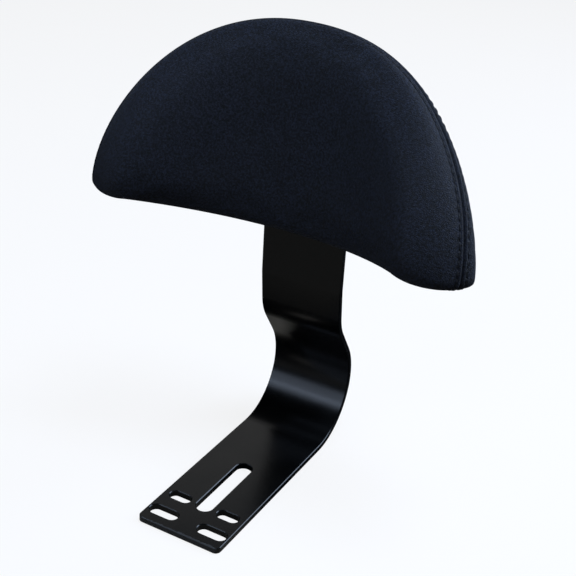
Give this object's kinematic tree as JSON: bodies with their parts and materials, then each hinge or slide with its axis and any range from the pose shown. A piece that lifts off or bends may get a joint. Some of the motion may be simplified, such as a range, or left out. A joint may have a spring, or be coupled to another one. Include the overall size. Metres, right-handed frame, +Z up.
{
  "type": "motorcycle backrest pad",
  "caption": "Half-moon leatherette backrest pad, curved round the rider's back, on one bent flat steel strap with a slotted mounting foot.",
  "frame": {"origin": "underside of the foot, midway between the two front slots", "axes": "+X across the strap, +Y back along the foot, +Z up; the pad faces the rider, along -Y"},
  "size_m": [0.2832, 0.1832, 0.3116],
  "materials": {
    "strap_coat": "semi-gloss black powder coat",
    "panel_plastic": "matte",
    "plywood": "raw",
    "foam": "open cell foam",
    "leatherette": "matte, fine grain",
    "zinc_steel": "zinc plated"
  },
  "bodies": {
    "root": {"mounting_bracket": "strap_coat", "back_panel": "panel_plastic", "base_board": "plywood", "foam_core": "foam", "cover_front_panel": "leatherette", "cover_side_band": "leatherette", "cover_staples": "zinc_steel", "tee_nuts": "zinc_steel", "pad_bolts": "zinc_steel", "lock_washers": "zinc_steel", "flat_washers": "zinc_steel"}
  },
  "joints": []
}
